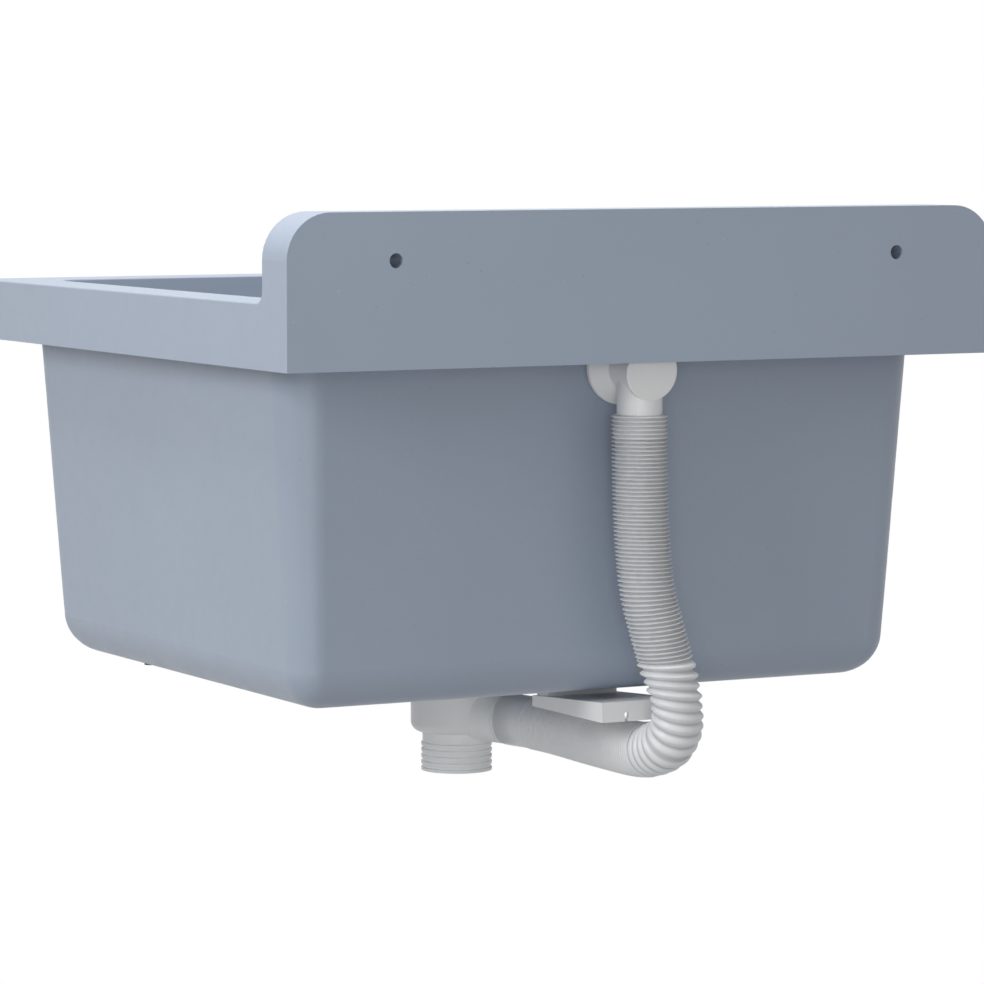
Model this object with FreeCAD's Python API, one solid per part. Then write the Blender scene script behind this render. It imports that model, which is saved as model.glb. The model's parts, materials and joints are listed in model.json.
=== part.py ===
"""Wall-mounted sink with a high back panel, an overflow hose and a threaded waste outlet.

Millimetres. The origin lies on the wall plane, midway between the two screw holes.
+Z is up, the sink stands out from the wall towards -Y, and +X runs along the wall.
"""
import FreeCAD
import Part

import math
import os

from FreeCAD import Matrix, Rotation, Vector

# Back panel and rim, with heights taken from the rim's lower edge
sink_width = 440.0
sink_depth = 432.7
rim_height = 35.3
rim_thickness = 9.0
skirt_thickness = 8.0
back_skin = 5.0
splash_height = 83.4
splash_thickness = 31.0
splash_corner_radius = 25.3
splash_foot_round = 7.0
front_corner_radius = 14.0
edge_round = 1.0
bowl_mouth_round = 0.8
side_rim_width = 32.5
front_rim_width = 38.0
rear_ledge_width = 19.0

# Screw holes to the wall
hole_spacing = 312.5
hole_height = 57.6
hole_diameter = 8.0
hole_boss_diameter = 22.0

# Tub below the rim, measured outside at the rim's lower edge
tub_width = 399.4
tub_depth = 359.0
tub_rear_gap = 42.0
tub_height = 187.4
draft_angle = 3.75
tub_corner_radius = 15.5
tub_foot_corner_radius = 22.0
tub_foot_round = 23.5
bowl_corner_radius = 12.0
bowl_foot_corner_radius = 20.0
bowl_foot_round = 18.0
floor_thickness = 10.0
floor_fall_angle = 3.5
tub_floor_border = 26.0
bowl_floor_border = 20.0
drain_flat_inset = 110.0

# Overflow through the tub's rear wall
overflow_x = -3.0
overflow_drop = 3.3
overflow_hole_diameter = 26.0
cover_diameter = 44.0
cover_thickness = 2.2
cover_dish_depth = 1.2
cover_slot_count = 6
cover_slot_width = 4.0
cover_slot_inner_radius = 8.0
cover_slot_outer_radius = 16.5
cover_gasket_thickness = 1.0
cover_gasket_width = 5.0
rear_gasket_thickness = 1.2
rear_gasket_inset = 2.0
elbow_flange_diameter = 43.6
elbow_flange_thickness = 2.5
elbow_cone_length = 8.3
elbow_body_diameter = 28.0
elbow_bore_diameter = 22.0
elbow_disc_diameter = 31.5
elbow_disc_thickness = 3.0
elbow_disc_round = 0.6
elbow_wall_gap = 0.5
elbow_hub_diameter = 12.0
elbow_hub_length = 10.0
elbow_web_count = 3
elbow_web_thickness = 2.4
overflow_screw_diameter = 5.0
overflow_head_diameter = 9.4
overflow_head_height = 2.8
overflow_slot_turn = 35.0
overflow_insert_diameter = 7.6
overflow_insert_length = 8.0

# Spigots that the hose slides onto, and the ribbed hose
spigot_diameter = 25.2
spigot_bore_diameter = 20.8
spigot_insertion = 12.0
elbow_spigot_gap = 20.5
hose_top_drop = 29.3
hose_fit = 0.1
hose_wall = 0.7
rib_diameter = 31.3
stretched_rib_diameter = 32.6
rib_pitch = 2.39
stretched_rib_pitch = 5.6
stretched_rib_count = 13
hose_first_run = 82.7
hose_last_run = 22.7
hose_cuff_length = 22.0
hose_cuff_diameter = 30.4
stretch_start = 136.0
rib_step_shares = (0.0, 0.30, 0.50, 0.80)
bend_reach_share = 0.45

# The hose's free bends, chosen by hand between its straight ends
hose_bends = (
    (-18.8, -19.5, -216.3),
    (-27.4, -20.5, -274.7),
    (-30.8, -102.5, -281.2),
)

# Waste fitting in the floor
drain_gap = 231.7
drain_hole_diameter = 54.0
strainer_diameter = 74.0
strainer_side_gap = 0.8
strainer_sheet = 1.2
strainer_sink_in = 0.3
strainer_mouth_diameter = 45.0
strainer_foot_diameter = 41.0
strainer_depth = 15.0
strainer_hole_count = 8
strainer_hole_diameter = 6.5
strainer_hole_circle = 27.0
top_gasket_thickness = 1.5
top_gasket_width = 8.0
bottom_gasket_thickness = 2.5
drain_flange_diameter = 72.0
drain_flange_thickness = 5.0
drain_body_diameter = 54.2
drain_body_length = 34.2
drain_wall = 2.8
shoulder_round = 6.0
thread_diameter = 41.9
thread_root_diameter = 40.4
thread_pitch = 3.7
thread_count = 5
outlet_bore_diameter = 33.0
nut_gap = 0.3
thread_step_shares = (0.15, 0.40, 0.55, 1.0)
branch_drop = 26.1
branch_angle = 20.3
branch_reach = 42.0
branch_diameter = 29.6
branch_neck_diameter = 27.4
branch_neck_length = 3.0
drain_hub_diameter = 17.0
drain_hub_length = 10.0
drain_hub_drop = 10.0
drain_web_count = 3
drain_web_thickness = 3.0
drain_screw_diameter = 8.0
drain_head_diameter = 15.0
drain_head_height = 3.4
drain_slot_turn = 20.0
drain_insert_diameter = 12.0
drain_insert_length = 8.0
screw_fit = 0.05
screw_slot_width = 1.2
screw_hole_gap = 0.3

# Rubber plug in the strainer, with its pull ring
plug_cap_diameter = 54.0
plug_cap_thickness = 3.5
plug_cap_round = 1.2
plug_depth = 9.0
plug_gap = 0.3
eyelet_diameter = 6.0
eyelet_washer_diameter = 12.0
eyelet_washer_thickness = 1.0
eyelet_root = 7.0
eyelet_hole_height = 3.0
eyelet_top = 2.8
ring_diameter = 21.0
ring_wire = 2.2
ring_play = 0.5

# Hollow wedge block with its packing strip, and rubber pads, under the tub
block_x = -19.0
block_width = 49.0
block_depth = 81.0
block_rear_gap = 46.5
block_drop = 15.0
block_wall = 2.4
block_slot_inset = 15.8
block_slot_width = 1.9
block_slot_hole_diameter = 3.0
block_slot_height = 3.8
block_pad_thickness = 5.8
block_pad_depth = 12.5
block_pad_edge_gap = 2.0
front_pad_diameter = 8.0
front_pad_height = 5.5
front_pad_side_inset = 11.4
front_pad_front_inset = 24.7

# Tool sizes that are no part of the object
overrun = 1.0
same_place = 1e-4

UP = Vector(0, 0, 1)
DOWN = Vector(0, 0, -1)
BACK = Vector(0, 1, 0)
ACROSS = Vector(1, 0, 0)

# Levels and outlines that several pieces share
draft = math.tan(math.radians(draft_angle))
fall = math.tan(math.radians(floor_fall_angle))
rim_bottom = -hole_height
rim_top = rim_bottom + rim_height
splash_top = rim_bottom + splash_height
tub_bottom = rim_bottom - tub_height
bowl_bottom = tub_bottom + floor_thickness
floor_drop = fall * (drain_flat_inset - tub_floor_border)
underside_z = tub_bottom - floor_drop
floor_z = bowl_bottom - floor_drop


def grown(outline, distance):
    """An outline (half width, front y, rear y) moved outwards on all four sides."""
    half_width, front, rear = outline
    return half_width + distance, front - distance, rear + distance


tub_rim_outline = (tub_width / 2, -(tub_rear_gap + tub_depth), -tub_rear_gap)
tub_top_outline = grown(tub_rim_outline, draft * rim_height)
tub_foot_outline = grown(tub_rim_outline, -draft * tub_height)
bowl_top_outline = (
    sink_width / 2 - side_rim_width,
    -(sink_depth - front_rim_width),
    -(splash_thickness + rear_ledge_width),
)
bowl_foot_outline = grown(bowl_top_outline, -draft * (rim_top - bowl_bottom))
border_outline = grown(tub_foot_outline, -tub_floor_border)
drain_outline = grown(tub_foot_outline, -drain_flat_inset)

# The overflow's pieces stand square to the drafted rear wall, with their y taken from its outer face
overflow_seat = Vector(overflow_x, -tub_rear_gap - draft * overflow_drop, rim_bottom - overflow_drop)
overflow_lean = Rotation(ACROSS, -draft_angle)
overflow_way = overflow_lean.multVec(BACK)
rear_wall = (draft * rim_height - tub_rear_gap - bowl_top_outline[2]) * overflow_way.y
cover_back_y = -(rear_wall + cover_gasket_thickness)
cover_front_y = cover_back_y - cover_thickness
elbow_disc_lean = -overflow_way.z * elbow_disc_diameter / 2
elbow_end_y = -(back_skin + elbow_wall_gap + elbow_disc_lean + overflow_seat.y) / overflow_way.y
spigot_y = -(elbow_spigot_gap + overflow_seat.y) / overflow_way.y
hose_top_z = rim_bottom - hose_top_drop
hose_bore_radius = spigot_diameter / 2 + hose_fit
hose_valley_radius = hose_bore_radius + hose_wall

drain_axis = Vector(0, -drain_gap, 0)
strainer_seat_z = floor_z - strainer_sink_in - strainer_sheet - top_gasket_thickness
strainer_flange_z = strainer_seat_z + top_gasket_thickness
strainer_top_z = strainer_flange_z + strainer_sheet
strainer_floor_z = strainer_top_z - strainer_depth
drain_top_z = underside_z - bottom_gasket_thickness
shoulder_z = drain_top_z - drain_body_length
branch_z = underside_z - branch_drop
thread_top_z = min(shoulder_z, branch_z - branch_diameter / 2) - nut_gap
outlet_z = thread_top_z - thread_pitch * thread_count
branch_way = Vector(
    -math.sin(math.radians(branch_angle)), math.cos(math.radians(branch_angle)), 0
)
drain_hub_top_z = drain_top_z - drain_hub_drop

plug_top_z = strainer_top_z + plug_gap + plug_cap_thickness
ring_axis_z = plug_top_z + eyelet_washer_thickness + eyelet_hole_height
ring_lean = math.degrees(
    math.asin((ring_axis_z - plug_top_z - ring_wire / 2 - plug_gap) / ring_diameter)
)


def box(low, high):
    """A box between two corners given as (x, y, z)."""
    size = Vector(*high) - Vector(*low)
    return Part.makeBox(size.x, size.y, size.z, Vector(*low))


def rod(diameter, start, way, length):
    return Part.makeCylinder(diameter / 2, length, start, way)


def washer(outer, inner, start, way, length):
    return rod(outer, start, way, length).cut(rod(inner, start, way, length))


def turned(profile, axis):
    """A solid turned about a vertical axis from (radius, z) points."""
    points = [Vector(radius, 0, z) for radius, z in profile]
    face = Part.Face(Part.makePolygon(points + points[:1]))
    solid = face.revolve(Vector(0, 0, 0), UP, 360)
    solid.translate(axis)
    return solid


def around(shape, axis, way, count):
    """Copies of a shape spaced evenly about an axis."""
    copies = []
    for step in range(count):
        copy = shape.copy()
        copy.rotate(axis, way, 360 * step / count)
        copies.append(copy)
    return copies


def lies_at(edge, z):
    low_high = (edge.BoundBox.ZMin, edge.BoundBox.ZMax)
    return all(abs(level - z) < same_place for level in low_high)


def frustum(low, low_z, high, high_z):
    """A flat-sided solid between two outlines at two heights."""
    solid = Part.makeWedge(
        -low[0], low_z, -low[2], -high[2], -high[0],
        low[0], high_z, -low[1], -high[1], high[0],
    )
    solid.rotate(Vector(0, 0, 0), ACROSS, 90)
    return solid


def tub(low, low_z, high, high_z, low_corner, high_corner, foot_round):
    """A drafted tub whose corners open out towards the foot, with a rounded foot."""
    solid = frustum(low, low_z, high, high_z)
    upright = [e for e in solid.Edges if e.BoundBox.ZLength > same_place]
    rising = [e for e in upright if e.Vertexes[0].Z < e.Vertexes[-1].Z]
    if rising:
        solid = solid.makeFillet(low_corner, high_corner, upright)
    else:
        solid = solid.makeFillet(high_corner, low_corner, upright)
    return solid.makeFillet(foot_round, [e for e in solid.Edges if lies_at(e, low_z)])


def rim_and_splash():
    """Rim and back panel in one outline, with one rounded edge running all the way round."""
    half = sink_width / 2
    foot_centre = Vector(-half, -splash_thickness - splash_foot_round, rim_top + splash_foot_round)
    foot_turn = splash_foot_round * math.sin(math.radians(45))
    corners = (
        Vector(-half, 0, rim_bottom),
        Vector(-half, -sink_depth, rim_bottom),
        Vector(-half, -sink_depth, rim_top),
        Vector(-half, foot_centre.y, rim_top),
        Vector(-half, -splash_thickness, foot_centre.z),
        Vector(-half, -splash_thickness, splash_top),
        Vector(-half, 0, splash_top),
    )
    edges = [Part.makeLine(a, b) for a, b in zip(corners[:3], corners[1:4])]
    middle = foot_centre + Vector(0, foot_turn, -foot_turn)
    edges.append(Part.Arc(corners[3], middle, corners[4]).toShape())
    edges += [Part.makeLine(a, b) for a, b in zip(corners[4:], corners[5:] + corners[:1])]
    solid = Part.Face(Part.Wire(edges)).extrude(ACROSS * sink_width)

    def runs_along_y(edge):
        return edge.BoundBox.YLength > same_place and lies_at(edge, splash_top)

    def front_upright(edge):
        low = edge.BoundBox.YMax < -sink_depth + same_place
        return low and edge.BoundBox.ZLength > same_place

    solid = solid.makeFillet(splash_corner_radius, [e for e in solid.Edges if runs_along_y(e)])
    solid = solid.makeFillet(front_corner_radius, [e for e in solid.Edges if front_upright(e)])

    def on_upper_edge(edge):
        above = edge.BoundBox.ZMin > rim_top - same_place
        clear_of_back = edge.BoundBox.YMax < -same_place
        full_width = edge.BoundBox.XLength > sink_width - same_place
        return above and clear_of_back and not full_width

    return solid.makeFillet(edge_round, [e for e in solid.Edges if on_upper_edge(e)])


def rim_hollow():
    """The open space under the rim and inside the back panel, around the two screw bosses."""
    inner = sink_width / 2 - skirt_thickness
    below = rim_bottom - overrun
    channel = box(
        (-inner, -(sink_depth - skirt_thickness), below),
        (inner, -back_skin, rim_top - rim_thickness),
    )
    panel = box(
        (-inner, -(splash_thickness - skirt_thickness), below),
        (inner, -back_skin, splash_top - skirt_thickness),
    )
    inner_corner = splash_corner_radius - skirt_thickness
    corner_edges = [
        e for e in panel.Edges
        if e.BoundBox.YLength > same_place and e.BoundBox.ZMin > rim_top
    ]
    hollow = channel.fuse(panel.makeFillet(inner_corner, corner_edges))
    return hollow.cut(Part.makeCompound(screw_rods(hole_boss_diameter)))


def screw_rods(diameter):
    start_y = -(splash_thickness + overrun)
    length = splash_thickness + 2 * overrun
    return [
        rod(diameter, Vector(side * hole_spacing / 2, start_y, 0), BACK, length)
        for side in (-1, 1)
    ]


def sink_basin():
    tub_solid = tub(
        tub_foot_outline, tub_bottom, tub_top_outline, rim_top,
        tub_foot_corner_radius, tub_corner_radius, tub_foot_round,
    )
    tub_solid = tub_solid.fuse(frustum(drain_outline, underside_z, border_outline, tub_bottom))
    bowl = tub(
        bowl_foot_outline, bowl_bottom, grown(bowl_top_outline, draft * overrun), rim_top + overrun,
        bowl_foot_corner_radius, bowl_corner_radius, bowl_foot_round,
    )
    bowl_border = grown(bowl_foot_outline, -bowl_floor_border)
    bowl = bowl.fuse(frustum(drain_outline, floor_z, bowl_border, bowl_bottom))

    overflow_hole = rod(overflow_hole_diameter, BACK * overrun, -BACK, rear_wall + 2 * overrun)

    seat = drain_axis + UP * strainer_seat_z
    recess_diameter = strainer_diameter + 2 * strainer_side_gap
    recess = rod(recess_diameter, seat, UP, floor_z - strainer_seat_z + overrun)
    drain_hole = rod(drain_hole_diameter, seat + UP * overrun, DOWN, floor_thickness + 2 * overrun)

    solid = rim_and_splash().cut(rim_hollow()).fuse(tub_solid)
    solid = solid.cut(bowl).removeSplitter()
    inside = bowl_top_outline[0] + same_place
    mouth = [
        e for e in solid.Edges
        if lies_at(e, rim_top) and abs(e.CenterOfMass.x) < inside
        and bowl_top_outline[1] - same_place < e.CenterOfMass.y < bowl_top_outline[2] + same_place
    ]
    solid = solid.makeFillet(bowl_mouth_round, mouth)
    solid = solid.cut(on_rear_wall(overflow_hole)).cut(recess).cut(drain_hole)
    return solid.cut(Part.makeCompound(screw_rods(hole_diameter)))


def on_rear_wall(shape):
    """Moves a shape that was drawn about the Y axis to the overflow's seat on the rear wall."""
    shape.Placement = FreeCAD.Placement(overflow_seat, overflow_lean).multiply(shape.Placement)
    return shape


def overflow_cover():
    """Dished disc over the overflow hole, with a ring of slots."""
    start = BACK * cover_front_y
    disc = rod(cover_diameter, start, BACK, cover_thickness)
    face_edges = [e for e in disc.Edges if e.BoundBox.YMax < cover_front_y + same_place]
    disc = disc.makeChamfer(cover_dish_depth, face_edges)
    half = cover_slot_width / 2
    slot = box(
        (cover_slot_inner_radius, cover_front_y - overrun, -half),
        (cover_slot_outer_radius, cover_back_y + overrun, half),
    )
    long_edges = [e for e in slot.Edges if e.BoundBox.YLength > cover_thickness]
    slot = slot.makeFillet(half - same_place, long_edges)
    disc = disc.cut(Part.makeCompound(around(slot, start, BACK, cover_slot_count)))
    hole = rod(overflow_screw_diameter + 2 * screw_hole_gap, start, BACK, cover_thickness)
    return on_rear_wall(disc.cut(hole))


def slotted_screw(shank, head, head_height, length, start, way, slot_turn):
    """Pan-headed screw: start is under the head, and way runs down the shank."""
    solid = rod(head, start, way * -1, head_height)
    top = start - way * head_height
    rim = [e for e in solid.Edges if e.CenterOfMass.distanceToPoint(top) < head_height / 2]
    solid = solid.makeFillet(head_height / 2, [e for e in rim if e.Curve.TypeId == "Part::GeomCircle"])
    solid = solid.fuse(rod(shank, start, way, length))
    slot_depth = head_height / 2
    slot = Part.makeBox(head, screw_slot_width, slot_depth, Vector(-head / 2, -screw_slot_width / 2, 0))
    slot.rotate(Vector(0, 0, 0), UP, slot_turn)
    slot.Placement = FreeCAD.Placement(top, Rotation(UP, way)).multiply(slot.Placement)
    return solid.cut(slot)


def overflow_screw():
    insert_end_y = rear_gasket_thickness + overflow_insert_length
    screw = slotted_screw(
        overflow_screw_diameter, overflow_head_diameter, overflow_head_height,
        insert_end_y - cover_front_y, BACK * cover_front_y, BACK, overflow_slot_turn,
    )
    return on_rear_wall(screw)


def overflow_insert():
    start = BACK * rear_gasket_thickness
    hole = overflow_screw_diameter + 2 * screw_fit
    return on_rear_wall(washer(overflow_insert_diameter, hole, start, BACK, overflow_insert_length))


def overflow_elbow():
    """Flange and cone on the tub's rear wall, a round closed end, and a spigot pointing down."""
    start = BACK * rear_gasket_thickness
    flange = rod(elbow_flange_diameter, start, BACK, elbow_flange_thickness)
    cone_start = start + BACK * elbow_flange_thickness
    cone = Part.makeCone(
        elbow_flange_diameter / 2, elbow_body_diameter / 2, elbow_cone_length, cone_start, BACK
    )
    body_length = elbow_end_y - rear_gasket_thickness - elbow_disc_thickness
    body = rod(elbow_body_diameter, start, BACK, body_length)
    disc_start = start + BACK * body_length
    disc = rod(elbow_disc_diameter, disc_start, BACK, elbow_disc_thickness)
    end_edges = [e for e in disc.Edges if e.BoundBox.YMin > elbow_end_y - same_place]
    disc = disc.makeFillet(elbow_disc_round, end_edges)

    spigot_top = overflow_seat + overflow_way * spigot_y
    spigot_length = spigot_top.z - hose_top_z + spigot_insertion
    spigot = rod(spigot_diameter, spigot_top, DOWN, spigot_length)
    bore_length = spigot_y + spigot_bore_diameter / 2 - rear_gasket_thickness
    bore = rod(elbow_bore_diameter, start, BACK, bore_length)
    spigot_bore = rod(spigot_bore_diameter, spigot_top, DOWN, spigot_length)

    web_reach = (elbow_bore_diameter + elbow_body_diameter) / 4
    web_end_y = rear_gasket_thickness + elbow_hub_length
    web = box(
        (0, rear_gasket_thickness, -elbow_web_thickness / 2),
        (web_reach, web_end_y, elbow_web_thickness / 2),
    )
    web.rotate(start, BACK, -90)
    hub = rod(elbow_hub_diameter, start, BACK, elbow_hub_length)
    hub_hole = rod(overflow_insert_diameter, start, BACK, elbow_hub_length)
    solid = on_rear_wall(flange.fuse([cone, body, disc])).fuse(spigot)
    solid = solid.cut(on_rear_wall(bore)).cut(spigot_bore)
    solid = solid.fuse([on_rear_wall(piece) for piece in around(web, start, BACK, elbow_web_count) + [hub]])
    return solid.cut(on_rear_wall(hub_hole)).removeSplitter()


def overflow_gaskets():
    """The ring behind the cover and the ring under the elbow's flange."""
    inner = cover_diameter - 2 * cover_gasket_width
    front = washer(cover_diameter, inner, BACK * cover_back_y, BACK, cover_gasket_thickness)
    outer = elbow_flange_diameter - 2 * rear_gasket_inset
    rear = washer(outer, overflow_hole_diameter, Vector(0, 0, 0), BACK, rear_gasket_thickness)
    return on_rear_wall(front), on_rear_wall(rear)


def hose_route():
    """The hose's corner points from the elbow to the waste fitting."""
    start = Vector(overflow_x, -elbow_spigot_gap, hose_top_z)
    end = drain_axis + UP * branch_z + branch_way * branch_reach
    bends = [Vector(*point) for point in hose_bends]
    return [start, start + DOWN * hose_first_run, *bends, end + branch_way * hose_last_run, end]


def rounded_route(points):
    """Straight runs and tangent arcs as (edge, length), each arc as large as its runs allow."""
    pieces = []
    here = points[0]
    for before, corner, after in zip(points, points[1:], points[2:]):
        way_in = (corner - before).normalize()
        way_out = (after - corner).normalize()
        turn = way_in.getAngle(way_out)
        shorter = min(before.distanceToPoint(corner), corner.distanceToPoint(after))
        reach = bend_reach_share * shorter
        radius = reach / math.tan(turn / 2)
        inward = (way_out - way_in).normalize()
        centre = corner + inward * (radius / math.cos(turn / 2))
        start, end = corner - way_in * reach, corner + way_out * reach
        pieces.append(Part.makeLine(here, start))
        pieces.append(Part.Arc(start, centre - inward * radius, end).toShape())
        print(f"hose bend {math.degrees(turn):.1f} deg, radius {radius:.1f} mm")
        here = end
    pieces.append(Part.makeLine(here, points[-1]))
    return pieces


def point_along(edges, distance):
    """The place and the direction at a distance along joined edges."""
    for edge in edges:
        if distance <= edge.Length or edge is edges[-1]:
            parameter = edge.getParameterByLength(min(distance, edge.Length))
            return edge.valueAt(parameter), edge.tangentAt(parameter)
        distance -= edge.Length


def circle_across(place, way, radius):
    """A circle square to the route, turned so that its start stays on the +X side."""
    side = (ACROSS - way * ACROSS.dot(way)).normalize()
    other = way.cross(side)
    frame = Matrix(
        side.x, other.x, way.x, place.x,
        side.y, other.y, way.y, place.y,
        side.z, other.z, way.z, place.z,
        0, 0, 0, 1,
    )
    circle = Part.makeCircle(radius)
    circle.Placement = FreeCAD.Placement(frame)
    return Part.Wire([circle])


def rib_stations(length):
    """Distances and radii: close ribs, stretched ribs round the bend, close ribs, a smooth cuff."""
    stretch_end = stretch_start + stretched_rib_count * stretched_rib_pitch
    cuff_start = length - hose_cuff_length
    upper_count = round(stretch_start / rib_pitch)
    lower_count = round((cuff_start - stretch_end) / rib_pitch)
    sections = (
        (0, stretch_start, upper_count, rib_diameter / 2),
        (stretch_start, stretch_end, stretched_rib_count, stretched_rib_diameter / 2),
        (stretch_end, cuff_start, lower_count, rib_diameter / 2),
    )
    stations = []
    for start, end, count, crest in sections:
        pitch = (end - start) / count
        radii = (hose_valley_radius, hose_valley_radius, crest, crest)
        for rib in range(count):
            for share, radius in zip(rib_step_shares, radii):
                stations.append((start + pitch * (rib + share), radius))
    stations.append((cuff_start, hose_valley_radius))
    stations.append((cuff_start + rib_pitch * rib_step_shares[1], hose_cuff_diameter / 2))
    stations.append((length, hose_cuff_diameter / 2))
    return stations


def overflow_hose():
    edges = rounded_route(hose_route())
    length = sum(edge.Length for edge in edges)
    stations = [(*point_along(edges, along), along, radius) for along, radius in rib_stations(length)]
    outside = Part.makeLoft(
        [circle_across(place, way, radius) for place, way, along, radius in stations], True, True
    )
    place, way = point_along(edges, 0)
    bore = Part.Wire(edges).makePipeShell([circle_across(place, way, hose_bore_radius)], True, False)
    far_apart = math.pi * stretched_rib_diameter
    gaps = [
        a[0].distanceToPoint(b[0]) - a[3] - b[3]
        for number, a in enumerate(stations) for b in stations[number + 1:]
        if b[2] - a[2] > far_apart
    ]
    hose = outside.cut(bore)
    print(f"hose length {length:.1f} mm, least gap to itself {min(gaps):.1f} mm")
    print(f"hose volume {hose.Volume:.0f} mm3, bore {bore.Volume / length:.1f} mm2 by length")
    return hose


def strainer_radius(depth):
    """Inside radius of the strainer's dish at a depth below its top."""
    narrowing = (strainer_mouth_diameter - strainer_foot_diameter) / 2
    return strainer_mouth_diameter / 2 - narrowing * depth / strainer_depth


def drain_strainer():
    foot = strainer_radius(strainer_depth)
    mouth = strainer_radius(0)
    under_z = strainer_floor_z - strainer_sheet
    outer_mouth = strainer_radius(strainer_sheet) + strainer_sheet
    dish = turned(
        (
            (0, strainer_floor_z),
            (foot, strainer_floor_z),
            (mouth, strainer_top_z),
            (strainer_diameter / 2, strainer_top_z),
            (strainer_diameter / 2, strainer_flange_z),
            (outer_mouth, strainer_flange_z),
            (foot + strainer_sheet, under_z),
            (0, under_z),
        ),
        drain_axis,
    )
    start = drain_axis + UP * under_z
    hole = rod(strainer_hole_diameter, start + ACROSS * (strainer_hole_circle / 2), UP, strainer_sheet)
    screw_hole = rod(drain_screw_diameter + 2 * screw_hole_gap, start, UP, strainer_sheet)
    return dish.cut(Part.makeCompound(around(hole, start, UP, strainer_hole_count) + [screw_hole]))


def drain_screw():
    start = drain_axis + UP * strainer_floor_z
    end_z = drain_hub_top_z - drain_hub_length
    return slotted_screw(
        drain_screw_diameter, drain_head_diameter, drain_head_height,
        strainer_floor_z - end_z, start, DOWN, drain_slot_turn,
    )


def drain_insert():
    start = drain_axis + UP * drain_hub_top_z
    hole = drain_screw_diameter + 2 * screw_fit
    return washer(drain_insert_diameter, hole, start, DOWN, drain_insert_length)


def drain_gaskets():
    """The ring under the strainer's flange and the ring under the floor."""
    inner = strainer_diameter - 2 * top_gasket_width
    top = washer(strainer_diameter, inner, drain_axis + UP * strainer_seat_z, UP, top_gasket_thickness)
    bottom = washer(
        drain_flange_diameter, drain_hole_diameter,
        drain_axis + UP * underside_z, DOWN, bottom_gasket_thickness,
    )
    return top, bottom


def thread_profile():
    """Outline points of the neck and of the thread's ridges, which start below the side branch."""
    root, crest = thread_root_diameter / 2, thread_diameter / 2
    points = [(root, shoulder_z)]
    for ridge in range(thread_count):
        for share, radius in zip(thread_step_shares, (root, root, crest, crest)):
            level = thread_top_z - thread_pitch * (ridge + share)
            points.append((radius, level))
    return points


def drain_body():
    """Tee of the waste fitting: flange, cup, threaded outlet and side branch for the hose."""
    cup = drain_body_diameter / 2
    cup_bore, outlet_bore = cup - drain_wall, outlet_bore_diameter / 2
    flange_z = drain_top_z - drain_flange_thickness
    outside = turned(
        [
            (0, drain_top_z),
            (drain_flange_diameter / 2, drain_top_z),
            (drain_flange_diameter / 2, flange_z),
            (cup, flange_z),
            (cup, shoulder_z),
            *thread_profile(),
            (0, outlet_z),
        ],
        drain_axis,
    )
    shoulder_edges = [
        e for e in outside.Edges
        if lies_at(e, shoulder_z) and e.BoundBox.XLength > drain_body_diameter - same_place
    ]
    outside = outside.makeFillet(shoulder_round, shoulder_edges)
    inside = turned(
        (
            (0, drain_top_z + overrun),
            (cup_bore, drain_top_z + overrun),
            (cup_bore, shoulder_z + shoulder_round),
            (outlet_bore, shoulder_z),
            (outlet_bore, outlet_z - overrun),
            (0, outlet_z - overrun),
        ),
        drain_axis,
    )
    centre = drain_axis + UP * branch_z
    branch = rod(branch_diameter, centre, branch_way, branch_reach - branch_neck_length)
    neck = rod(branch_neck_diameter, centre, branch_way, branch_reach)
    spigot = rod(spigot_diameter, centre, branch_way, branch_reach + spigot_insertion)
    branch_bore = rod(spigot_bore_diameter, centre, branch_way, branch_reach + spigot_insertion)

    hub_start = drain_axis + UP * drain_hub_top_z
    hub = rod(drain_hub_diameter, hub_start, DOWN, drain_hub_length)
    hub_hole = rod(drain_insert_diameter, hub_start, DOWN, drain_hub_length)
    web = box(
        (0, -drain_gap - drain_web_thickness / 2, drain_hub_top_z - drain_hub_length),
        (cup - drain_wall / 2, -drain_gap + drain_web_thickness / 2, drain_hub_top_z),
    )
    web.rotate(drain_axis, UP, branch_angle - 90)
    webs = around(web, drain_axis, UP, drain_web_count)
    solid = outside.fuse([branch, neck, spigot]).cut(inside).cut(branch_bore)
    return solid.fuse(webs + [hub]).cut(hub_hole).removeSplitter()


def drain_plug():
    cap_z = strainer_top_z + plug_gap
    cap = plug_cap_diameter / 2
    solid = turned(
        (
            (0, plug_top_z),
            (cap, plug_top_z),
            (cap, cap_z),
            (strainer_radius(0) - plug_gap, cap_z),
            (strainer_radius(plug_depth) - plug_gap, strainer_top_z - plug_depth),
            (0, strainer_top_z - plug_depth),
        ),
        drain_axis,
    )
    rim = [
        e for e in solid.Edges
        if lies_at(e, plug_top_z) and e.BoundBox.XLength > plug_cap_diameter - same_place
    ]
    solid = solid.makeFillet(plug_cap_round, rim)
    hole = rod(eyelet_diameter + 2 * screw_fit, drain_axis + UP * plug_top_z, DOWN, eyelet_root)
    return solid.cut(hole)


def plug_eyelet():
    top = drain_axis + UP * plug_top_z
    post_height = eyelet_washer_thickness + eyelet_hole_height + eyelet_top
    post = rod(eyelet_diameter, top + DOWN * eyelet_root, UP, eyelet_root + post_height)
    crown = [e for e in post.Edges if e.BoundBox.ZMin > ring_axis_z]
    post = post.makeFillet(eyelet_top / 3, crown)
    collar = rod(eyelet_washer_diameter, top, UP, eyelet_washer_thickness)
    hole_start = Vector(-eyelet_diameter, -drain_gap, ring_axis_z)
    hole = rod(ring_wire + 2 * ring_play, hole_start, ACROSS, 2 * eyelet_diameter)
    return post.fuse(collar).cut(hole).removeSplitter()


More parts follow.
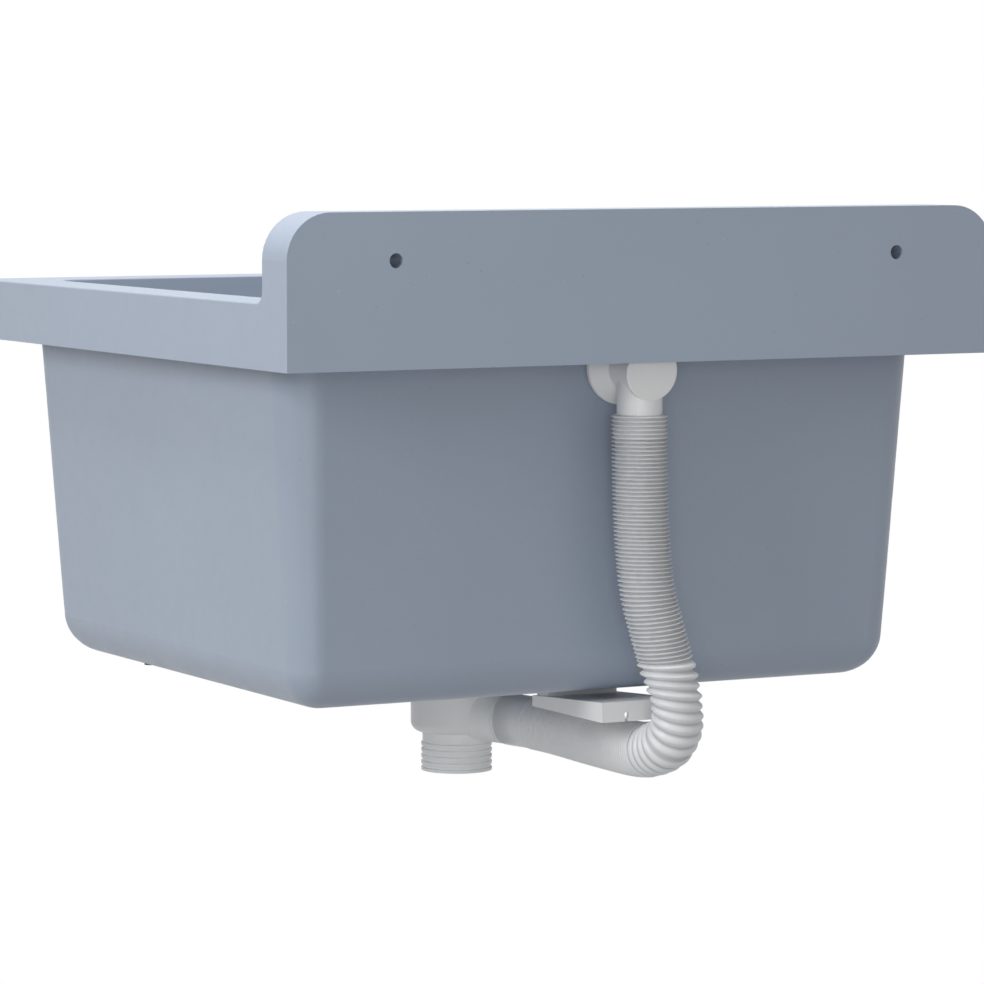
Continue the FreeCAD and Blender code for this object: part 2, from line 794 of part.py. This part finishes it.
def plug_ring():
    """Pull ring through the eyelet, leaning down until it all but rests on the plug."""
    centre = Vector(0, -drain_gap - ring_diameter / 2, ring_axis_z)
    ring = Part.makeTorus(ring_diameter / 2, ring_wire / 2, centre, UP)
    ring.rotate(Vector(0, -drain_gap, ring_axis_z), ACROSS, ring_lean)
    return ring


def slope_z(y):
    """Height of the falling underside behind the drain, carried on past its border."""
    return tub_bottom + fall * (y - border_outline[2])


def side_prism(points, x_low, x_high):
    """A solid with a (y, z) outline, run along X."""
    corners = [Vector(x_low, y, z) for y, z in points]
    return Part.Face(Part.makePolygon(corners + corners[:1])).extrude(ACROSS * (x_high - x_low))


def rest_block():
    """Hollow wedge with a level underside, open below, and a keyhole slot in its rear wall."""
    rear, front = -block_rear_gap, -(block_rear_gap + block_depth)
    low = tub_bottom - block_drop
    left, right = block_x - block_width / 2, block_x + block_width / 2

    def outline(inset, bottom):
        back_y, front_y = rear - inset, front + inset
        lowering = block_pad_thickness + inset
        return (
            (back_y, bottom),
            (front_y, bottom),
            (front_y, slope_z(front_y) - lowering),
            (back_y, slope_z(back_y) - lowering),
        )

    solid = side_prism(outline(0, low), left, right)
    hollow = side_prism(outline(block_wall, low - overrun), left + block_wall, right - block_wall)
    slot_x, slot_z = right - block_slot_inset, low + block_slot_height
    start = Vector(slot_x, rear + overrun, slot_z)
    keyhole = rod(block_slot_hole_diameter, start, -BACK, block_wall + 2 * overrun)
    slit = box(
        (slot_x - block_slot_width / 2, rear - block_wall - overrun, low - overrun),
        (slot_x + block_slot_width / 2, rear + overrun, slot_z),
    )
    return solid.cut(hollow).cut(keyhole.fuse(slit))


def rest_block_pad():
    """Packing strip between the front end of the block and the falling underside of the tub."""
    front = -(block_rear_gap + block_depth) + block_pad_edge_gap
    rear = front + block_pad_depth
    half = block_width / 2 - block_pad_edge_gap
    points = (
        (rear, slope_z(rear)),
        (front, slope_z(front)),
        (front, slope_z(front) - block_pad_thickness),
        (rear, slope_z(rear) - block_pad_thickness),
    )
    return side_prism(points, block_x - half, block_x + half)


def front_pads(sink):
    """Two small rubber pads stuck under the front corners of the tub."""
    x = border_outline[0] - front_pad_side_inset
    y = border_outline[1] + front_pad_front_inset
    low = tub_bottom - front_pad_height
    rods = [
        rod(front_pad_diameter, Vector(side * x, y, low), UP, front_pad_height) for side in (-1, 1)
    ]
    return Part.makeCompound([pad.cut(sink) for pad in rods])


def main():
    os.makedirs("parts", exist_ok=True)
    sink = sink_basin()
    cover_gasket, elbow_gasket = overflow_gaskets()
    strainer_gasket, drain_gasket = drain_gaskets()
    pieces = {
        "sink_basin": sink,
        "overflow_cover": overflow_cover(),
        "overflow_cover_gasket": cover_gasket,
        "overflow_screw": overflow_screw(),
        "overflow_elbow_gasket": elbow_gasket,
        "overflow_elbow": overflow_elbow(),
        "overflow_insert": overflow_insert(),
        "overflow_hose": overflow_hose(),
        "drain_strainer": drain_strainer(),
        "drain_strainer_gasket": strainer_gasket,
        "drain_screw": drain_screw(),
        "drain_body_gasket": drain_gasket,
        "drain_body": drain_body(),
        "drain_insert": drain_insert(),
        "drain_plug": drain_plug(),
        "plug_eyelet": plug_eyelet(),
        "plug_ring": plug_ring(),
        "rest_block": rest_block(),
        "rest_block_pad": rest_block_pad(),
        "front_pads": front_pads(sink),
    }
    for name, shape in pieces.items():
        print(f"{name}: {len(shape.Solids)} solid, valid {shape.isValid()}, {shape.Volume:.0f} mm3")
        shape.exportStep(f"parts/{name}.step")


main()
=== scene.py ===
"""Looks of the wall-mounted sink: its finishes, its ribbed overflow hose, the studio and the camera.

Metres, in the CAD model's frame: the wall is the plane y = 0, and the sink stands out towards -Y.
"""

import json
import math

import bpy
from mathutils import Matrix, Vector

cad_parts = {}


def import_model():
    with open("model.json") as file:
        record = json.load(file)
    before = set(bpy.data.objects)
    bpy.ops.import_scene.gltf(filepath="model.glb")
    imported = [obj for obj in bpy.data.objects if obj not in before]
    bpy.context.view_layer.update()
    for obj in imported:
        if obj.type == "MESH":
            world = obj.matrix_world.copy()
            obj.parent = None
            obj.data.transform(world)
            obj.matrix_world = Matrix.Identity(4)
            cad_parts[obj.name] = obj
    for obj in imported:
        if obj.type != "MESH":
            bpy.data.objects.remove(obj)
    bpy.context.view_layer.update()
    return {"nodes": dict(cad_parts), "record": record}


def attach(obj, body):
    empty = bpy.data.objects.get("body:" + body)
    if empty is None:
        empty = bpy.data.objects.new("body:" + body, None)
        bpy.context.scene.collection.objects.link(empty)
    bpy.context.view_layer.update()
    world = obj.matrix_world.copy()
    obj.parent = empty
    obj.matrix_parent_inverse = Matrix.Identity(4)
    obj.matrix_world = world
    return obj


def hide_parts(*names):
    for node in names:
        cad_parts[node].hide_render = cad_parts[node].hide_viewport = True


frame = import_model()

# Camera, solved from the edges of the back panel, the rim and the tub
camera_place = Vector((1.22324, 2.11411, 0.07744))
camera_aim = Vector((0.099396, 0.0, -0.124128))
camera_lens_mm = 164.76
camera_sensor_mm = 36.0

# Overflow hose: the route's corner points from the elbow to the waste fitting
hose_route = (
    (-0.003, -0.0205, -0.0869),
    (-0.003, -0.0205, -0.1696),
    (-0.0172, -0.0195, -0.2173),
    (-0.0310, -0.0199, -0.2598),
    (-0.0264, -0.0389, -0.2786),
    (-0.0296, -0.1089, -0.2799),
    (-0.022447, -0.171019, -0.276238),
    (-0.014571, -0.192309, -0.276238),
)
hose_length = 0.3545
hose_bore_radius = 0.0127
hose_cuff_radius = 0.0152
hose_sides = 64
bore_step = 0.004
route_resolution = 48

# The hose's ribs, section by section: where it ends along the hose, the number of ribs,
# the radius of their valleys and crests, and their form
hose_sections = (
    (0.0137, 6, 0.0143, 0.01565, "broad"),
    (0.0878, 33, 0.0134, 0.01565, "broad"),
    (0.1383, 20, 0.0134, 0.01565, "broad"),
    (0.1495, 2, 0.0134, 0.0163, "lens"),
    (0.1607, 2, 0.0132, 0.0156, "lens"),
    (0.1886, 5, 0.0130, 0.0148, "lens"),
    (0.2110, 4, 0.0140, 0.0153, "lens"),
    (0.3325, 51, 0.0146, 0.01565, "grooved"),
)
rib_steps = 10
# The mesh attribute that holds how far each point of the hose is free of the painted groove shade
groove_shade_attribute = "rib_height"

# How the ribs' forms differ: the gain of a rib's wave, and the power that fills it out
broad_gain = 1.7
lens_power = 0.85
grooved_gain = 1.4
grooved_power = 0.4

# The share of a rib's height over which its groove is greyed with painted shade, standing in for the
# shadow deep in the grooves
groove_shade_shares = {"broad": 1.0, "lens": 0.35, "grooved": 0.4}

# The share of the hose's sideways lean that its rings follow, at distances along it
ring_leans = (
    (0.085, 0.0),
    (0.110, 0.40),
    (0.136, 0.40),
    (0.142, 0.0),
    (0.160, -0.30),
    (0.195, -0.30),
    (0.300, 1.0),
)

# Finishes: noise scales in features per metre, gloss as a range of roughness, and relief as its
# depth in metres and its strength
noise_middle = (0.3, 0.7)
cloud_detail = 3.0
resin_colours = ((0.350, 0.408, 0.502), (0.370, 0.430, 0.528))
resin_cloud_scale = 9.0
resin_grain_colour = (0.330, 0.384, 0.472)
resin_grain_scale = 900.0
resin_grain_band = (0.35, 0.65)
resin_grain_share = 0.35
resin_gloss_scale = 120.0
resin_gloss = (0.38, 0.46)
resin_relief_scale = 420.0
resin_relief = (0.0002, 0.10)
plastic_cloud_scale = 45.0
plastic_gloss_scale = 260.0
plastic_gloss_spread = (-0.04, 0.05)
plastic_relief_scale = 700.0
plastic_relief = (0.0001, 0.08)
crest_colours = ((0.84, 0.85, 0.865), (0.81, 0.82, 0.835))
# Painted shade: the grey given to the grooves between the hose's ribs, standing in for the shadow that
# falls deep in them
groove_painted_shade = (0.52, 0.53, 0.545)
hose_gloss = (0.36, 0.45)
metal_gloss_spread = (-0.06, 0.08)
metal_relief = (0.00003, 0.15)
bloom_scale = 160.0
bloom_detail = 4.0
bloom_roughness = 0.6
bloom_band = (0.35, 0.75)
rubber_gloss_spread = (-0.06, 0.10)
rubber_relief_scale = 900.0
rubber_relief_detail = 3.0
rubber_relief = (0.0001, 0.15)

# Flecks in the resin: their spacing, largest radius, share of cells that hold one, and colour
fleck_kinds = (
    (0.007, 0.0005, 0.30, (0.29, 0.33, 0.39)),
    (0.009, 0.0005, 0.25, (0.44, 0.49, 0.56)),
)
smallest_fleck_share = 0.5

# Studio
floor_z = -0.86
floor_size = 24.0
floor_fade_start = 0.7
floor_fade_end = 1.7
floor_colour = (0.82, 0.82, 0.82)
floor_bounce = (0.40, 0.40, 0.40)
floor_roughness = 0.9
ambient_light = 0.34

# Soft lamps: name, place, size and power in watts; all face the middle of the sink
lamps = (
    ("overhead", (0.5, -0.1, 2.2), 1.6, 50.0),
    ("left", (2.15, 0.35, 0.80), 1.0, 20.0),
    ("low", (1.05, 2.00, -0.05), 1.0, 9.0),
)
lamp_aim = Vector((0.0, -0.2, -0.1))


def principled(name):
    """A new material with its shader, node tree and the part's own coordinates."""
    material = bpy.data.materials.new(name)
    material.use_nodes = True
    nodes = material.node_tree.nodes
    shader = nodes["Principled BSDF"]
    place = nodes.new("ShaderNodeTexCoord").outputs["Object"]
    return material, material.node_tree, shader, place


def noise(tree, place, scale, detail=2.0, roughness=0.5):
    """A noise texture's value, with scale in features per metre."""
    node = tree.nodes.new("ShaderNodeTexNoise")
    node.inputs["Scale"].default_value = scale
    node.inputs["Detail"].default_value = detail
    node.inputs["Roughness"].default_value = roughness
    tree.links.new(place, node.inputs["Vector"])
    return node.outputs["Fac"]


def stretched(tree, place, scale):
    """The coordinates scaled by a different amount along each axis."""
    node = tree.nodes.new("ShaderNodeMapping")
    node.inputs["Scale"].default_value = scale
    tree.links.new(place, node.inputs["Vector"])
    return node.outputs["Vector"]


def ranged(tree, value, low, high, to_low=0.0, to_high=1.0):
    """A value's range low to high mapped onto another, and held at its ends."""
    node = tree.nodes.new("ShaderNodeMapRange")
    node.inputs["From Min"].default_value = low
    node.inputs["From Max"].default_value = high
    node.inputs["To Min"].default_value = to_low
    node.inputs["To Max"].default_value = to_high
    tree.links.new(value, node.inputs["Value"])
    return node.outputs["Result"]


def maths(tree, operation, first, second):
    """One sum of two values, either of which may be a plain number."""
    node = tree.nodes.new("ShaderNodeMath")
    node.operation = operation
    for socket, value in zip(node.inputs, (first, second)):
        if isinstance(value, (int, float)):
            socket.default_value = value
        else:
            tree.links.new(value, socket)
    return node.outputs["Value"]


def blended(tree, share, first, second):
    """Two colours mixed by a share; each is a colour or a socket."""
    node = tree.nodes.new("ShaderNodeMix")
    node.data_type = "RGBA"
    tree.links.new(share, node.inputs["Factor"])
    for socket, colour in zip((node.inputs[6], node.inputs[7]), (first, second)):
        if isinstance(colour, tuple):
            socket.default_value = (*colour, 1.0)
        else:
            tree.links.new(colour, socket)
    return node.outputs[2]


def flecks(tree, place, spacing, radius, share):
    """1 inside small round flecks: cells of a given spacing, of which only a share holds a fleck."""
    cells = tree.nodes.new("ShaderNodeTexVoronoi")
    cells.inputs["Scale"].default_value = 1.0 / spacing
    tree.links.new(place, cells.inputs["Vector"])
    pick = tree.nodes.new("ShaderNodeSeparateColor")
    tree.links.new(cells.outputs["Color"], pick.inputs["Color"])
    chosen = maths(tree, "LESS_THAN", pick.outputs["Red"], share)
    reach = radius / spacing
    size = ranged(tree, pick.outputs["Green"], 0.0, 1.0, smallest_fleck_share * reach, reach)
    near = maths(tree, "LESS_THAN", cells.outputs["Distance"], size)
    return maths(tree, "MULTIPLY", chosen, near)


def bumped(tree, shader, height, distance, strength):
    """Small relief from a height value; distance is the depth in metres."""
    node = tree.nodes.new("ShaderNodeBump")
    node.inputs["Distance"].default_value = distance
    node.inputs["Strength"].default_value = strength
    tree.links.new(height, node.inputs["Height"])
    tree.links.new(node.outputs["Normal"], shader.inputs["Normal"])


def resin():
    """Moulded mineral resin: clouded blue-grey with a fine grain and sparse dark and pale flecks."""
    material, tree, shader, place = principled("sink_resin")
    cloud = ranged(tree, noise(tree, place, resin_cloud_scale, cloud_detail), *noise_middle)
    colour = blended(tree, cloud, *resin_colours)
    grain = ranged(tree, noise(tree, place, resin_grain_scale), *resin_grain_band, 0.0, resin_grain_share)
    colour = blended(tree, grain, colour, resin_grain_colour)
    for spacing, radius, share, fleck_colour in fleck_kinds:
        colour = blended(tree, flecks(tree, place, spacing, radius, share), colour, fleck_colour)
    tree.links.new(colour, shader.inputs["Base Color"])
    gloss = ranged(tree, noise(tree, place, resin_gloss_scale), *noise_middle, *resin_gloss)
    tree.links.new(gloss, shader.inputs["Roughness"])
    bumped(tree, shader, noise(tree, place, resin_relief_scale), *resin_relief)
    return material


def spread(roughness, around):
    """The ends of a range of roughness, given as steps from its middle value."""
    return roughness + around[0], roughness + around[1]


def satin(tree, shader, place, gloss_range):
    """The faint unevenness of gloss and relief of a moulded plastic."""
    gloss = ranged(tree, noise(tree, place, plastic_gloss_scale), *noise_middle, *gloss_range)
    tree.links.new(gloss, shader.inputs["Roughness"])
    bumped(tree, shader, noise(tree, place, plastic_relief_scale), *plastic_relief)


def plastic(name, colour, shade, roughness):
    """Satin moulded plastic with a faint unevenness of colour and gloss."""
    material, tree, shader, place = principled(name)
    cloud = ranged(tree, noise(tree, place, plastic_cloud_scale, cloud_detail), *noise_middle)
    tree.links.new(blended(tree, cloud, colour, shade), shader.inputs["Base Color"])
    satin(tree, shader, place, spread(roughness, plastic_gloss_spread))
    return material


def hose_plastic():
    """Satin white plastic with painted shade: greyer in the grooves between the hose's ribs, where shadow
    falls.
    """
    material, tree, shader, place = principled("hose_plastic")
    cloud = ranged(tree, noise(tree, place, plastic_cloud_scale, cloud_detail), *noise_middle)
    crest = blended(tree, cloud, *crest_colours)
    height = tree.nodes.new("ShaderNodeAttribute")
    height.attribute_name = groove_shade_attribute
    # Painted shade: the grooves are mixed toward the grey, standing in for the shadow in them
    colour = blended(tree, height.outputs["Fac"], groove_painted_shade, crest)
    tree.links.new(colour, shader.inputs["Base Color"])
    satin(tree, shader, place, hose_gloss)
    return material


def metal(name, colour, shade, roughness, grain):
    """Brushed metal: streaks along one axis, in the colour, the gloss and the relief."""
    material, tree, shader, place = principled(name)
    streak = noise(tree, stretched(tree, place, grain), 1.0, cloud_detail)
    tone = blended(tree, ranged(tree, streak, *noise_middle), colour, shade)
    tree.links.new(tone, shader.inputs["Base Color"])
    gloss = ranged(tree, streak, *noise_middle, *spread(roughness, metal_gloss_spread))
    tree.links.new(gloss, shader.inputs["Roughness"])
    shader.inputs["Metallic"].default_value = 1.0
    bumped(tree, shader, streak, *metal_relief)
    return material


def rubber(name, colour, shade, roughness):
    """Matt rubber with a dusty bloom."""
    material, tree, shader, place = principled(name)
    bloom = ranged(tree, noise(tree, place, bloom_scale, bloom_detail, bloom_roughness), *bloom_band)
    tree.links.new(blended(tree, bloom, colour, shade), shader.inputs["Base Color"])
    gloss = ranged(tree, bloom, 0.0, 1.0, *spread(roughness, rubber_gloss_spread))
    tree.links.new(gloss, shader.inputs["Roughness"])
    bumped(tree, shader, noise(tree, place, rubber_relief_scale, rubber_relief_detail), *rubber_relief)
    return material


finishes = {
    "sink_resin": resin(),
    "white_plastic": plastic("white_plastic", (0.88, 0.89, 0.89), (0.85, 0.86, 0.865), 0.42),
    "hose_plastic": hose_plastic(),
    "steel": metal("steel", (0.62, 0.62, 0.61), (0.50, 0.50, 0.50), 0.30, (60.0, 60.0, 2500.0)),
    "brass": metal("brass", (0.70, 0.55, 0.27), (0.60, 0.46, 0.21), 0.34, (700.0, 700.0, 700.0)),
    "seal": rubber("seal", (0.030, 0.030, 0.031), (0.055, 0.055, 0.056), 0.72),
    "plug_rubber": rubber("plug_rubber", (0.040, 0.040, 0.042), (0.070, 0.070, 0.072), 0.62),
    "pad_rubber": rubber("pad_rubber", (0.035, 0.036, 0.040), (0.060, 0.061, 0.066), 0.70),
}


def dress_nodes():
    """Every CAD node takes its slot's finish from the record."""
    for part in frame["record"]["subparts"]:
        mesh = frame["nodes"][part["node"]].data
        mesh.materials.clear()
        mesh.materials.append(finishes[part["material_slot"]])


def route_points():
    """Points along the hose's smooth centreline, a curve drawn by the route's corner points."""
    data = bpy.data.curves.new("hose_line", "CURVE")
    data.dimensions = "3D"
    spline = data.splines.new("NURBS")
    spline.points.add(len(hose_route) - 1)
    for point, corner in zip(spline.points, hose_route):
        point.co = (*corner, 1.0)
    spline.order_u = 3
    spline.use_endpoint_u = True
    spline.resolution_u = route_resolution
    line = bpy.data.objects.new("hose_line", data)
    bpy.context.scene.collection.objects.link(line)
    drawn = bpy.data.meshes.new_from_object(line)
    points = [vertex.co.copy() for vertex in drawn.vertices]
    bpy.data.objects.remove(line)
    bpy.data.curves.remove(data)
    bpy.data.meshes.remove(drawn)
    return points


class Line:
    """A drawn line with its place and direction at any distance along it."""

    def __init__(self, points):
        self.points = points
        self.steps = [0.0]
        for a, b in zip(points, points[1:]):
            self.steps.append(self.steps[-1] + (b - a).length)
        self.length = self.steps[-1]

    def at(self, distance):
        distance = min(max(distance, 0.0), self.length)
        last = len(self.points) - 2
        index = next(i for i, step in enumerate(self.steps[1:]) if distance <= step or i == last)
        a, b = self.points[index], self.points[index + 1]
        share = (distance - self.steps[index]) / (self.steps[index + 1] - self.steps[index])
        return a.lerp(b, share)

    def way(self, distance):
        reach = self.length / len(self.points)
        return (self.at(distance + reach) - self.at(distance - reach)).normalized()


def rib_height(form, share):
    """A rib's height from 0 to 1, at a share of its pitch from the middle of one groove to the next."""
    wave = 0.5 - 0.5 * math.cos(2 * math.pi * share)
    if form == "broad":
        return max(0.0, 1.0 - broad_gain * (1.0 - wave))
    if form == "lens":
        return wave ** lens_power
    return min(1.0, grooved_gain * wave ** grooved_power)


def hose_profile(length):
    """(distance, radius, paleness) along the outside of the hose, rib by rib, up to its smooth end;
    paleness is the share free of the painted groove shade.
    """
    scale = length / hose_length
    profile = []
    start = 0.0
    for end, count, valley, crest, form in hose_sections:
        pitch = (end - start) / count
        for rib in range(count):
            for step in range(rib_steps):
                share = step / rib_steps
                distance = (start + pitch * (rib + share)) * scale
                height = rib_height(form, share)
                # Paleness: 1 on the crests, falling to 0 where the painted groove shade is full
                pale = min(1.0, height / groove_shade_shares[form])
                profile.append((distance, valley + (crest - valley) * height, pale))
        start = end
    profile.append((start * scale, hose_cuff_radius, 1.0))
    profile.append((length, hose_cuff_radius, 1.0))
    return profile


def lean_share(distance):
    """The share of the sideways lean at a distance along the hose, from the table of leans."""
    share = ring_leans[0][1]
    for (start, first), (end, last) in zip(ring_leans, ring_leans[1:]):
        if distance > start:
            share = first + (last - first) * min(1.0, (distance - start) / (end - start))
    return share


def ring_way(line, distance):
    """The direction that a ring of the hose faces."""
    way = line.way(distance)
    way.x *= lean_share(distance)
    return way.normalized()


def tube_mesh(name, line, stations):
    """A closed mesh of rings about a line, whose stations run out along the outside and back inside."""
    vertices = []
    paleness = []
    for distance, radius, pale in stations:
        place, way = line.at(distance), ring_way(line, distance)
        side = (Vector((1, 0, 0)) - way * way.x).normalized()
        other = way.cross(side)
        for corner in range(hose_sides):
            turn = 2 * math.pi * corner / hose_sides
            vertices.append(place + (side * math.cos(turn) + other * math.sin(turn)) * radius)
            paleness.append(pale)
    faces = []
    rings = len(stations)
    for ring in range(rings):
        here, there = ring * hose_sides, (ring + 1) % rings * hose_sides
        for corner in range(hose_sides):
            across = (corner + 1) % hose_sides
            faces.append((here + corner, here + across, there + across, there + corner))
    mesh = bpy.data.meshes.new(name)
    mesh.from_pydata(vertices, [], faces)
    mesh.shade_smooth()
    mesh.update()
    # Each point's share free of the painted groove shade, read by the hose's material
    mesh.attributes.new(groove_shade_attribute, "FLOAT", "POINT").data.foreach_set("value", paleness)
    return mesh


def hose():
    """The ribbed overflow hose, over the spigots at both ends."""
    line = Line(route_points())
    outside = hose_profile(line.length)
    bore_count = round(line.length / bore_step)
    steps = range(bore_count, -1, -1)
    inside = [(line.length * step / bore_count, hose_bore_radius, 1.0) for step in steps]
    mesh = tube_mesh("ribbed_hose", line, outside + inside)
    mesh.materials.append(finishes["hose_plastic"])
    piece = bpy.data.objects.new("ribbed_hose", mesh)
    bpy.context.scene.collection.objects.link(piece)
    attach(piece, "sink")
    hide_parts("overflow_hose")


def camera():
    data = bpy.data.cameras.new("camera")
    data.lens = camera_lens_mm
    data.sensor_width = camera_sensor_mm
    data.clip_end = floor_size * 2
    stand = bpy.data.objects.new("camera", data)
    stand.location = camera_place
    stand.rotation_euler = (camera_aim - camera_place).to_track_quat("-Z", "Y").to_euler()
    bpy.context.scene.collection.objects.link(stand)
    bpy.context.scene.camera = stand


def seen_share(tree):
    """1 for rays from the camera, and for those that a gloss or clear surface sends on."""
    path = tree.nodes.new("ShaderNodeLightPath").outputs
    seen = maths(tree, "MAXIMUM", path["Is Camera Ray"], path["Is Glossy Ray"])
    return maths(tree, "MAXIMUM", seen, path["Is Transmission Ray"])


def world():
    """White where it is seen, and an even soft light elsewhere."""
    sky = bpy.data.worlds.new("studio")
    sky.use_nodes = True
    tree = sky.node_tree
    background = tree.nodes["Background"]
    colour = blended(tree, seen_share(tree), (ambient_light,) * 3, (1.0, 1.0, 1.0))
    tree.links.new(colour, background.inputs["Color"])
    bpy.context.scene.world = sky


def floor():
    """A plain pale floor that keeps the sink's shadow and fades to white further out."""
    half = floor_size / 2
    mesh = bpy.data.meshes.new("floor")
    corners = [(x * half, y * half, floor_z) for x, y in ((-1, -1), (1, -1), (1, 1), (-1, 1))]
    mesh.from_pydata(corners, [], [(0, 1, 2, 3)])
    material, tree, shader, place = principled("floor")
    tone = blended(tree, seen_share(tree), floor_bounce, floor_colour)
    tree.links.new(tone, shader.inputs["Base Color"])
    shader.inputs["Roughness"].default_value = floor_roughness
    flat = stretched(tree, place, (1.0, 1.0, 0.0))
    distance = tree.nodes.new("ShaderNodeVectorMath")
    distance.operation = "LENGTH"
    tree.links.new(flat, distance.inputs[0])
    far = ranged(tree, distance.outputs["Value"], floor_fade_start, floor_fade_end)
    white = tree.nodes.new("ShaderNodeEmission")
    mix = tree.nodes.new("ShaderNodeMixShader")
    tree.links.new(maths(tree, "MULTIPLY", far, seen_share(tree)), mix.inputs["Fac"])
    tree.links.new(shader.outputs["BSDF"], mix.inputs[1])
    tree.links.new(white.outputs["Emission"], mix.inputs[2])
    tree.links.new(mix.outputs["Shader"], tree.nodes["Material Output"].inputs["Surface"])
    mesh.materials.append(material)
    plane = bpy.data.objects.new("floor", mesh)
    bpy.context.scene.collection.objects.link(plane)


def studio_lamps():
    for name, place, size, power in lamps:
        data = bpy.data.lights.new(name, "AREA")
        data.size = size
        data.energy = power
        lamp = bpy.data.objects.new(name, data)
        lamp.location = place
        lamp.rotation_euler = (lamp_aim - lamp.location).to_track_quat("-Z", "Y").to_euler()
        bpy.context.scene.collection.objects.link(lamp)


bpy.context.scene.view_settings.view_transform = "Standard"
camera()
world()
floor()
studio_lamps()
dress_nodes()
hose()
